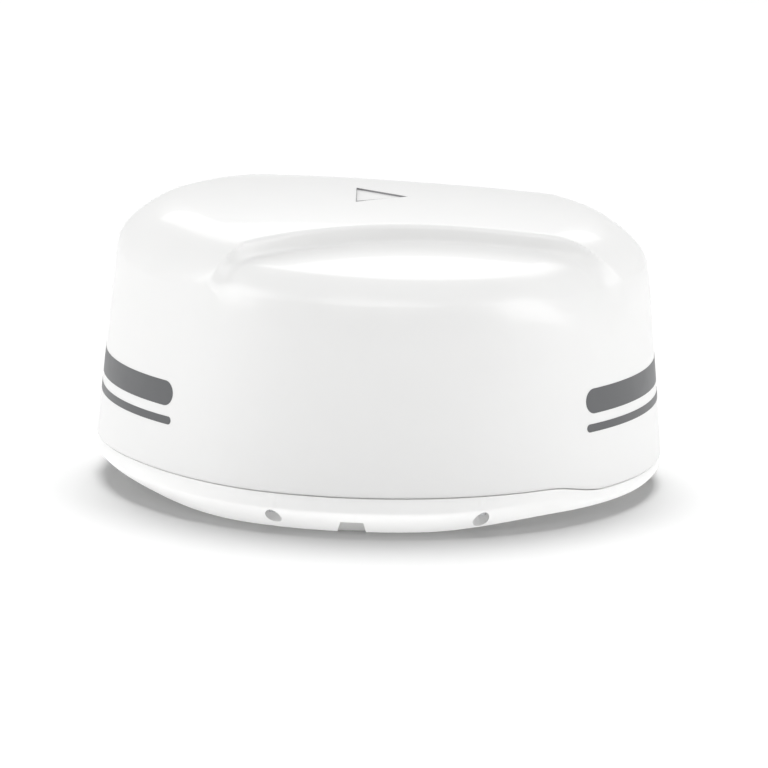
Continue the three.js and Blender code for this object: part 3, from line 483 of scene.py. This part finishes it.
# ---------------------------------------------------------------- cover
def screw_places():
    """Number, place and seam height of each screw round the rim."""
    for index, degrees in enumerate(SCREW_ANGLES):
        a = math.radians(degrees)
        x, y = math.cos(a), math.sin(a)
        yield index + 1, SCREW_CIRCLE * x, SCREW_CIRCLE * y, float(seam_wave(x, y))


def dome_cover():
    """The cover's whole skin: outside, lip, flange and inside, with the mark and the holes cut."""
    angles = np.arange(SKIN_STEPS) * TAU / SKIN_STEPS
    ax, ay = np.cos(angles)[:, None], np.sin(angles)[:, None]
    foot = SEAM_Z + seam_wave(ax, ay) + SEAM_GAP / 2
    lowest = np.arctan2(foot + FOOT_MARGIN - CENTRE_Z, RADIUS)
    knee = math.radians(KNEE)
    wall_rows = lowest + (knee - lowest) * np.linspace(0, 1, 14)[None, :-1]
    shoulder_rows = np.arange(KNEE, CROWN, SHOULDER_STEP)
    top_rows = np.radians(np.concatenate([shoulder_rows, np.linspace(CROWN, TOPMOST, 24)]))
    rows = np.concatenate([wall_rows, np.tile(top_rows, (SKIN_STEPS, 1))], 1)
    radii, heights = skin_points(ax, ay, rows, 0)
    radii += (RADIUS - radii[:, :1]) * (1 - smooth(0, FOOT_BLEND, heights - foot))
    ones = np.ones((SKIN_STEPS, 1))
    lip_r = np.concatenate([ones * (RADIUS - inset) for inset in LIP_INSETS] + [ones * RADIUS], 1)
    lip_z = np.concatenate([foot - drop for drop in LIP_DROPS] + [foot + LIP_ROUND], 1)
    flange_top = foot + FLANGE_HEIGHT
    inner_low = np.arctan2(flange_top - CENTRE_Z, RADIUS - WALL)
    # The inside has a third of the outside's rows, from the wall's last one up.
    inner_rows = np.concatenate([inner_low, np.tile(rows[:1, 12::3], (SKIN_STEPS, 1))], 1)
    inner_r, inner_z = skin_points(ax, ay, inner_rows, WALL)
    inner_z[:, :1] = flange_top
    all_r = np.concatenate([inner_r[:, ::-1], ones * FLANGE_INNER, ones * FLANGE_INNER, lip_r, radii], 1)
    all_z = np.concatenate([inner_z[:, ::-1], flange_top, foot, lip_z, heights], 1)
    cover = section_ring("dome_shell", all_r, all_z, angles, cap_start=True, cap_end=True)
    return boolean(cover, merged([arrow_cutter()] + hole_cutters()), "DIFFERENCE")


ARROW_TIP = 0.0225
ARROW_TAIL = -0.0245
ARROW_HALF = 0.034
ARROW_DEPTH = 0.0016
ARROW_CORNERS = ((ARROW_TIP, 0), (ARROW_TAIL, ARROW_HALF), (ARROW_TAIL, -ARROW_HALF))
SHADE_STRIP_SHARES = (0.994, 0.955)    # the painted shade strip's outer and inner size, of the mark's


def lay_on_deck(obj):
    """Moves a mesh made at the origin to the heading mark's floor, along the sloping deck."""
    tilt = Matrix.Rotation(math.atan(DECK_FALL), 4, "Y")
    obj.data.transform(Matrix.Translation((0, 0, DECK_Z - ARROW_DEPTH)) @ tilt)


def arrow_cutter():
    """A triangular tool that cuts the heading mark into the sloping deck."""
    tool = prism("arrow_tool", ARROW_CORNERS, 0, 0.01)
    lay_on_deck(tool)
    return tool


def heading_shade_strip():
    """A thin dark grey strip round the wall of the heading mark: painted shade along the recess's wall.
    """
    centre = (ARROW_TIP + 2 * ARROW_TAIL) / 3
    rings = []
    for share in SHADE_STRIP_SHARES:
        rings.append([(centre + (x - centre) * share, y * share) for x, y in ARROW_CORNERS])
    low, high = 0.00005, ARROW_DEPTH - 0.0002
    vertices = [(x, y, z) for ring in rings for z in (low, high) for x, y in ring]
    outer_low, outer_high, inner_low, inner_high = 0, 3, 6, 9
    faces = []
    for i in range(3):
        n = (i + 1) % 3
        faces.append((outer_low + i, outer_low + n, outer_high + n, outer_high + i))
        faces.append((inner_low + n, inner_low + i, inner_high + i, inner_high + n))
        faces.append((outer_high + i, outer_high + n, inner_high + n, inner_high + i))
        faces.append((outer_low + n, outer_low + i, inner_low + i, inner_low + n))
    shade_strip = new_object("heading_shade_strip", vertices, faces)
    outward(shade_strip)
    lay_on_deck(shade_strip)
    return dress(shade_strip, "dome_white", "housing", "painted_shade_grey")


def hole_cutters():
    """Tools for the screw holes in the cover's flange."""
    tools = []
    for i, x, y, wave in screw_places():
        low = SEAM_Z + wave - 0.005
        high = SEAM_Z + wave + FLANGE_HEIGHT + 0.002
        tools.append(post(f"hole_{i}", SCREW_HOLE, x, y, low, high, 20))
    return tools


def cover_boss(index, x, y, wave):
    """The tapped boss inside the cover that a screw goes into."""
    low = SEAM_Z + wave + SEAM_GAP / 2 + FLANGE_HEIGHT
    high = SEAM_Z + wave + SEAM_GAP / 2 + BOSS_HEIGHT
    profile = [
        (SCREW_HOLE, low),
        (0.0076, low),
        (0.007, low + 0.002),
        (0.0066, high - 0.0006),
        (0.006, high),
        (0.0028, high),
        (SCREW_HOLE, high - 0.0005),
    ]
    boss = lathe(f"cover_boss_{index}", profile, (x, y, 0), 32)
    return dress(boss, "dome_white", "housing")


# ---------------------------------------------------------------- base
def base_sections(steps, filled=False):
    """Radii and heights round the pan's section at each azimuth; filled leaves out the inside."""
    angles = np.arange(steps) * TAU / steps
    ax, ay = np.cos(angles)[:, None], np.sin(angles)[:, None]
    off = np.degrees(np.arctan2(np.abs(ay), ax))
    away = smooth(*BOW_SPAN, off)
    lift = BOW_LIFT * (1 - away)
    foot = (BOW_FOOT_RADIUS + (FOOT_RADIUS - BOW_FOOT_RADIUS) * away
            + (STERN_FOOT_RADIUS - FOOT_RADIUS) * smooth(*STERN_SPAN, off))
    top = SEAM_Z + seam_wave(ax, ay) - SEAM_GAP / 2
    strip_foot = top - STRIP * away - BOW_STRIP * (1 - away)
    t = np.linspace(0, 1, 13)[None, 1:-1]
    flank_r = foot + (RIM_RADIUS - foot) * (1 - (1 - t) ** FLANK_POWER)
    flank_z = lift + (strip_foot - lift) * t
    ones = np.ones_like(foot)
    outer = [
        (ones * BASE_CENTRE, ones * 0),
        (ones * (CHANNEL_RADIUS - 0.004), ones * 0),
        (ones * CHANNEL_RADIUS, lift),
        (foot - FOOT_ROUND, lift),
        (foot - FOOT_ROUND * 0.25, lift + FOOT_ROUND * 0.3),
        (flank_r, flank_z),
        (ones * RIM_RADIUS, strip_foot),
        (ones * RIM_RADIUS, top - LIP_ROUND),
    ]
    for inset, rise in zip(LIP_INSETS[::-1], LIP_DROPS[::-1]):
        outer.append((ones * (RIM_RADIUS - inset), top + rise))
    inner = [
        (ones * SEAL_OUTER, top),
        (ones * SEAL_OUTER, top - SEAL_DEPTH),
        (ones * SEAL_INNER, top - SEAL_DEPTH),
        (ones * SEAL_INNER, top),
        (ones * INNER_TOP, top),
        (ones * INNER_TOP, top - RIM_THICKNESS),
        (INNER_TOP + UNDERCUT * away, top - RIM_THICKNESS - 0.002),
        (ones * INNER_FOOT, lift + BASE_FLOOR + 0.0005),
        (ones * (CHANNEL_RADIUS - 0.001), lift + BASE_FLOOR),
        (ones * (CHANNEL_RADIUS - 0.006), ones * BASE_FLOOR),
        (ones * BASE_CENTRE, ones * BASE_FLOOR),
    ]
    parts = outer + ([(ones * BASE_CENTRE, ones * SEAM_Z)] if filled else inner)
    radii = np.concatenate([r for r, _ in parts], 1)
    heights = np.concatenate([z for _, z in parts], 1)
    return radii, heights, angles


CORNERS = ((-1, -1), (1, -1), (1, 1), (-1, 1))
INSERT_PLACES = [(a * 0.11675, b * 0.07075) for a, b in CORNERS]
INSERT_BOSS = 0.010
INSERT_BOSS_TOP = 0.018
INSERT_HOLE = 0.0063
INSERT_HOLE_TOP = 0.0146
CHASSIS_PLACES = [(a * 0.110, b * 0.110) for a, b in CORNERS]
CHASSIS_POST = 0.007
CHASSIS_POST_TOP = 0.0377
CHASSIS_HOLE = 0.0024
CHASSIS_HOLE_FOOT = 0.023
BOARD_PLACES = ((-0.018, -0.051), (0.111, -0.051), (0.111, 0.051), (-0.018, 0.051))
BOARD_POST = 0.004
BOARD_POST_TOP = 0.0197
BAY_X0 = 0.150
BAY_X1 = 0.206
BAY_HALF = 0.060
BAY_CEILING = 0.030
BAY_WALL = 0.004
CONNECTOR_Y = 0.028
CONNECTOR_Z = 0.017
CONNECTOR_RADIUS = 0.0083
VENT_X = -0.040
VENT_Y = 0.150
VENT_RADIUS = 0.0043
NOTCH_X = -0.022
NOTCH_LOW = 0.0125
NOTCH_TOP = 0.010
NOTCH_HEIGHT = 0.012
NOTCH_RADIUS = 0.222
NOTCH_BOSS_HALF = 0.016
NOTCH_BOSS_OUT = 0.014
NOTCH_BOSS_IN = 0.004
NOTCH_ROOF = 0.004
POCKET_WALL = 0.0025
OVERLAP = 0.001                   # how far a tool or a boss runs past the face it meets


def barrel(name, radius, x0, x1, y, z, sides=32):
    """A round tool that lies along X."""
    tool = post(name, radius, 0, 0, x0, x1, sides)
    tool.data.transform(Matrix.Translation((0, y, z)) @ Matrix.Rotation(math.pi / 2, 4, "Y"))
    return tool


def notch_tool():
    """The drain notch's tool: a wedge that narrows upwards and runs out through the flank."""
    spread = (NOTCH_LOW - NOTCH_TOP) / NOTCH_HEIGHT * OVERLAP
    corners = [
        (-NOTCH_LOW - spread, -OVERLAP),
        (NOTCH_LOW + spread, -OVERLAP),
        (NOTCH_TOP, NOTCH_HEIGHT),
        (-NOTCH_TOP, NOTCH_HEIGHT),
    ]
    tool = prism("notch_tool", corners, 0, 0.04)
    turn = Matrix(((1, 0, 0, NOTCH_X), (0, 0, -1, -NOTCH_RADIUS), (0, 1, 0, 0), (0, 0, 0, 1)))
    tool.data.transform(turn)
    outward(tool)
    return tool


def rim_bosses():
    """Material round the screw pockets and the notch, kept inside the pan's own outline."""
    sections = base_sections(BASE_STEPS, filled=True)
    form = section_ring("form_tool", *sections, cap_start=True, cap_end=True)
    bosses = []
    for i, x, y, wave in screw_places():
        top = SEAM_Z + wave - 0.003
        bosses.append(post(f"pocket_{i}", POCKET_RADIUS + POCKET_WALL, x, y, OVERLAP, top, 40))
    bosses.append(block("notch_wall", NOTCH_X - NOTCH_BOSS_HALF, NOTCH_X + NOTCH_BOSS_HALF,
                        -NOTCH_RADIUS - NOTCH_BOSS_OUT, -NOTCH_RADIUS + NOTCH_BOSS_IN,
                        OVERLAP, NOTCH_HEIGHT + NOTCH_ROOF))
    return boolean(merged(bosses), form, "INTERSECT")


def inner_bosses():
    """The bay's walls, and the posts for the inserts, the chassis plate and the board."""
    outer = BAY_HALF + BAY_WALL
    bosses = [
        block("bay", BAY_X0 - BAY_WALL, BAY_X1 + BAY_WALL, -outer, outer, BOW_LIFT + 0.002,
              BAY_CEILING + BAY_WALL),
        block("bay_foot", BAY_X0 - BAY_WALL, CHANNEL_RADIUS - 0.006, -outer, outer, OVERLAP,
              BOW_LIFT + 0.0025),
    ]
    for label, places, radius, top in (
        ("insert_boss", INSERT_PLACES, INSERT_BOSS, INSERT_BOSS_TOP),
        ("chassis_post", CHASSIS_PLACES, CHASSIS_POST, CHASSIS_POST_TOP),
        ("board_post", BOARD_PLACES, BOARD_POST, BOARD_POST_TOP),
    ):
        bosses += [post(f"{label}_{i}", radius, x, y, OVERLAP, top) for i, (x, y) in enumerate(places)]
    return bosses


def base_cutters():
    """Tools for the bay, the notch and every hole in the pan."""
    cuts = [block("bay_cut", BAY_X0, BAY_X1, -BAY_HALF, BAY_HALF, -OVERLAP, BAY_CEILING), notch_tool()]
    for label, places, radius, low, high in (
        ("insert_hole", INSERT_PLACES, INSERT_HOLE, -OVERLAP, INSERT_HOLE_TOP),
        ("post_hole", CHASSIS_PLACES, CHASSIS_HOLE, CHASSIS_HOLE_FOOT, CHASSIS_POST_TOP + 0.0013),
    ):
        cuts += [post(f"{label}_{i}", radius, x, y, low, high) for i, (x, y) in enumerate(places)]
    for i, side in enumerate((-1, 1)):
        cuts.append(barrel(f"connector_hole_{i}", CONNECTOR_RADIUS, BAY_X0 - 0.005, BAY_X0 + 0.0005,
                           side * CONNECTOR_Y, CONNECTOR_Z))
    cuts.append(post("vent_hole", VENT_RADIUS, VENT_X, VENT_Y, -OVERLAP, BASE_FLOOR + OVERLAP))
    for i, x, y, wave in screw_places():
        roof = POCKET_TOP + wave
        cuts.append(post(f"pocket_cut_{i}", POCKET_RADIUS, x, y, -OVERLAP, roof, 40))
        cuts.append(post(f"through_{i}", SCREW_HOLE, x, y, roof - 0.0005, SEAM_Z + wave + 0.002, 24))
    return cuts


def base_pan():
    """The base: one turned skin, with the bosses joined on and the holes cut."""
    pan = section_ring("base_pan", *base_sections(BASE_STEPS), cap_start=True, cap_end=True)
    for piece in [rim_bosses()] + inner_bosses():
        boolean(pan, piece, "UNION")
    for piece in base_cutters():
        boolean(pan, piece, "DIFFERENCE")
    return pan


# ---------------------------------------------------------------- bands in place of the lettering
BAND_REACH = 43                   # degrees, each way from the bow or the stern
WIDE_BAND = (0.096, 0.118)
THIN_BAND = (0.080, 0.087)
BAND_FACES = (0.00005, 0.00025)   # the band's back and front, off the wall
SHORTEST_EDGE = 0.00001


def wall_band(name, middle, low, high):
    """A thin printed band with round ends that hugs the tapering wall."""
    half_height = (high - low) / 2
    centre_z = (high + low) / 2
    arc_radius = RADIUS - (centre_z - SEAM_Z) * DRAFT
    length = math.radians(BAND_REACH) * arc_radius
    straight = length - half_height
    ends = length - half_height * (1 - np.cos(np.linspace(0, math.pi / 2, 12)))
    s = np.concatenate([-ends, np.linspace(-straight, straight, 60)[1:-1], ends[::-1]])
    reach = np.clip(np.abs(s) - straight, 0, half_height)
    tall = np.sqrt(np.maximum(half_height ** 2 - reach ** 2, SHORTEST_EDGE ** 2))
    rows = np.linspace(-1, 1, 5)
    vertices = []
    for lift in BAND_FACES:
        for i, along in enumerate(s):
            for row in rows:
                z = centre_z + row * tall[i]
                r = RADIUS - (z - SEAM_Z) * DRAFT + lift
                a = math.radians(middle) + along / arc_radius
                vertices.append((r * math.cos(a), r * math.sin(a), z))
    count, across = len(s), len(rows)
    layer = count * across
    faces = []
    for i in range(count - 1):
        for j in range(across - 1):
            a, b = i * across + j, (i + 1) * across + j
            faces.append((a, a + 1, b + 1, b))
            faces.append((a + layer, b + layer, b + 1 + layer, a + 1 + layer))
        for j in (0, across - 1):
            a, b = i * across + j, (i + 1) * across + j
            faces.append((a, b, b + layer, a + layer))
    for i in (0, count - 1):
        for j in range(across - 1):
            a = i * across + j
            faces.append((a, a + 1, a + 1 + layer, a + layer))
    band = new_object(name, vertices, faces)
    outward(band)
    return dress(band, "dome_white", "housing", "band_grey")


# ---------------------------------------------------------------- fasteners
SCREW_EDGE = 0.0004


def hexagon(radius):
    return [(radius * math.cos(TAU * i / 6), radius * math.sin(TAU * i / 6)) for i in range(6)]


def cap_screw(name, node_name, head, shank, socket, head_below):
    """A socket screw in place of its CAD node; head_below says that its head points down."""
    low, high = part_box(node_name)
    x, y = (low.x + high.x) / 2, (low.y + high.y) / 2
    length = high.z - low.z
    thick = head * 1.04
    profile = [
        (0, 0),
        (head - SCREW_EDGE, 0),
        (head, SCREW_EDGE),
        (head, thick - SCREW_EDGE / 2),
        (head - SCREW_EDGE / 2, thick),
        (shank, thick),
        (shank, length - SCREW_EDGE),
        (shank - SCREW_EDGE, length),
        (0, length),
    ]
    screw = lathe(name, profile, sides=36)
    tool = prism("socket_tool", hexagon(socket), -0.001, head * 0.6)
    boolean(screw, tool, "DIFFERENCE")
    flip = Matrix.Identity(4) if head_below else Matrix.Diagonal((1, 1, -1, 1))
    foot = low.z if head_below else high.z
    screw.data.transform(Matrix.Translation((x, y, foot)) @ flip)
    outward(screw)
    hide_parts(node_name)
    return dress(screw, "stainless_steel", "housing")


# ---------------------------------------------------------------- inner detail
PATCH_COLUMNS = 26
PATCH_ROWS = (0.2, 0.5, 0.8)      # of the board's height
PATCH_MARGIN = 0.015
PATCH_HALF_WIDTH = 0.005
PATCH_HALF_HEIGHT = 0.0055
FEED_MARGIN = 0.012
FEED_HALF_HEIGHT = 0.0005
SUNK = 0.0001                     # how far the small pieces reach into what they sit on
BOARD_THICKNESS = 0.0016
CHIP_COLUMNS = 23
CHIP_START = 0.012
CHIP_PITCH = 0.0055
CHIP_INSET = 0.0045


def antenna_patches():
    """Rows of copper patches, with their feed lines, on the front of the antenna board."""
    low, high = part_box("antenna_array")
    front = low.y
    pitch = (high.x - low.x - 2 * PATCH_MARGIN) / PATCH_COLUMNS
    pieces = []
    for row in PATCH_ROWS:
        z = low.z + (high.z - low.z) * row
        for i in range(PATCH_COLUMNS):
            x = low.x + PATCH_MARGIN + pitch * (i + 0.5)
            pieces.append(block("patch", x - PATCH_HALF_WIDTH, x + PATCH_HALF_WIDTH, front - 0.00025,
                                front + SUNK, z - PATCH_HALF_HEIGHT, z + PATCH_HALF_HEIGHT))
        pieces.append(block("feed", low.x + FEED_MARGIN, high.x - FEED_MARGIN, front - 0.0002,
                            front + SUNK, z - FEED_HALF_HEIGHT, z + FEED_HALF_HEIGHT))
    return dress(merged(pieces), "antenna_laminate", "antenna", "copper")


def board_parts():
    """Small chips along both long edges of the main board."""
    low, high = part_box("main_board")
    top = low.z + BOARD_THICKNESS
    rng = np.random.default_rng(7)
    pieces = []
    for y in (low.y + CHIP_INSET, high.y - CHIP_INSET):
        for column in range(CHIP_COLUMNS):
            x = low.x + CHIP_START + column * CHIP_PITCH
            w = rng.uniform(0.0006, 0.0013)
            d = rng.uniform(0.0006, 0.001)
            h = rng.uniform(0.0005, 0.0011)
            pieces.append(block("chip", x - w, x + w, y - d, y + d, top - SUNK, top + h, 0.0001, 1))
    return dress(merged(pieces), "circuit_board", "housing", "black_plastic")


# ---------------------------------------------------------------- make the pieces
def build():
    """Makes every Blender piece; each stands in for its CAD node or is added to it."""
    cover = dome_cover()
    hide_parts("radome_cover")
    dress(cover, "dome_white", "housing")
    for index, x, y, wave in screw_places():
        cover_boss(index, x, y, wave)
    # A dark grey strip of painted shade round the heading mark's wall.
    heading_shade_strip()
    pan = base_pan()
    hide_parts("base_housing")
    # The pan's lighter white is painted light for the floor's bounce.
    dress(pan, "base_white", "housing")
    for label, middle in (("bow", 0), ("stern", 180)):
        wall_band(f"{label}_band_wide", middle, *WIDE_BAND)
        wall_band(f"{label}_band_thin", middle, *THIN_BAND)
    for i in range(1, 7):
        cap_screw(f"cap_screw_{i}", f"cover_screw_{i}", 0.0043, 0.002, 0.0022, True)
    for i in range(1, 5):
        cap_screw(f"chassis_cap_screw_{i}", f"chassis_screw_{i}", 0.0044, 0.002, 0.0022, False)
        cap_screw(f"motor_cap_screw_{i}", f"motor_screw_{i}", 0.0028, 0.0014, 0.0014, False)
    antenna_patches()
    board_parts()


def finish_cad_nodes():
    """Every CAD node gets its slot's procedural material."""
    slots = {row["node"]: row["material_slot"] for row in frame["record"]["subparts"]}
    for name, obj in frame["nodes"].items():
        obj.data.materials.clear()
        obj.data.materials.append(MATERIALS[slots[name]])


# ---------------------------------------------------------------- stage and light
SKY_STRENGTH = 1.00
FRONT_SHARE = 0.32                # of the sky's strength, at the horizon behind the camera
BACKDROP = 1.1                    # what the camera sees instead of the sky
FLOOR_GREY = (0.36, 0.36, 0.36)
FLOOR_HALF = 15
FLOOR_SUN = 6.1                   # an overhead light on the floor alone
SUN_SPREAD = 36                   # degrees
SUN_TILT = 17                     # degrees; it comes from a little behind the object
FLOOR_GLOW = 2.6                  # the bright floor's light on the base's flank
GLOW_SPREAD = 50
UPWARD = 180
SOFTBOX_AIM = Vector((0, 0, 0.12))
SOFTBOXES = (                     # name, place, power, width, height
    ("left_softbox", (-2.4, -0.9, 1.3), 26, 1.8, 1.8),
    ("right_softbox", (2.4, -0.9, 1.3), 26, 1.8, 1.8),
    ("front_softbox", (0, -3.0, 2.8), 34, 3.0, 1.6),
    ("back_softbox", (0, 2.7, 2.15), 20, 3.2, 1.4),
)


def studio():
    """A pale floor, a white surround and soft lights."""
    floor = block("floor", -FLOOR_HALF, FLOOR_HALF, -FLOOR_HALF, FLOOR_HALF, -0.02, -0.0002)
    floor.data.materials.append(moulded("floor_pale", FLOOR_GREY, 0.9, variation=0.0, specular=0.0))
    sky()
    linked_sun("floor_sun", floor, FLOOR_SUN, SUN_SPREAD, -SUN_TILT)
    glow = linked_sun("floor_glow", bpy.data.objects["base_pan"], FLOOR_GLOW, GLOW_SPREAD, UPWARD)
    glow.light_linking.blocker_collection = glow.light_linking.receiver_collection
    for row in SOFTBOXES:
        softbox(*row)
    bpy.context.scene.view_settings.view_transform = "Standard"


def sky():
    """A white surround, dimmer behind the camera; the camera itself sees plain white."""
    world = bpy.data.worlds.new("studio")
    bpy.context.scene.world = world
    world.use_nodes = True
    nodes, links = world.node_tree.nodes, world.node_tree.links
    nodes.clear()
    place = nodes.new("ShaderNodeTexCoord")
    split = nodes.new("ShaderNodeSeparateXYZ")
    links.new(place.outputs["Generated"], split.inputs[0])
    front = nodes.new("ShaderNodeMapRange")
    front.interpolation_type = "SMOOTHSTEP"
    front.inputs["From Min"].default_value = 0.1
    front.inputs["From Max"].default_value = -0.9
    front.inputs["To Min"].default_value = SKY_STRENGTH
    front.inputs["To Max"].default_value = SKY_STRENGTH * FRONT_SHARE
    links.new(split.outputs["Y"], front.inputs["Value"])
    lighting = nodes.new("ShaderNodeBackground")
    links.new(front.outputs["Result"], lighting.inputs["Strength"])
    plain = nodes.new("ShaderNodeBackground")
    plain.inputs["Strength"].default_value = BACKDROP
    ray = nodes.new("ShaderNodeLightPath")
    mix = nodes.new("ShaderNodeMixShader")
    links.new(ray.outputs["Is Camera Ray"], mix.inputs["Fac"])
    links.new(lighting.outputs[0], mix.inputs[1])
    links.new(plain.outputs[0], mix.inputs[2])
    output = nodes.new("ShaderNodeOutputWorld")
    links.new(mix.outputs[0], output.inputs["Surface"])


def linked_sun(name, target, energy, spread, tilt):
    """A light that falls on one object only: straight down, or tilted about X by some degrees."""
    group = bpy.data.collections.new(name + "_target")
    group.objects.link(target)
    data = bpy.data.lights.new(name, "SUN")
    data.energy = energy
    data.angle = math.radians(spread)
    light = bpy.data.objects.new(name, data)
    bpy.context.scene.collection.objects.link(light)
    light.light_linking.receiver_collection = group
    light.rotation_euler = (math.radians(tilt), 0, 0)
    return light


def softbox(name, place, power, width, height):
    """A rectangular light that looks at the object and can't be seen itself."""
    data = bpy.data.lights.new(name, "AREA")
    data.shape = "RECTANGLE"
    data.energy = power
    data.size = width
    data.size_y = height
    light = bpy.data.objects.new(name, data)
    bpy.context.scene.collection.objects.link(light)
    light.location = place
    light.rotation_euler = (SOFTBOX_AIM - Vector(place)).to_track_quat("-Z", "Y").to_euler()
    light.visible_camera = False


build()
finish_cad_nodes()
studio()
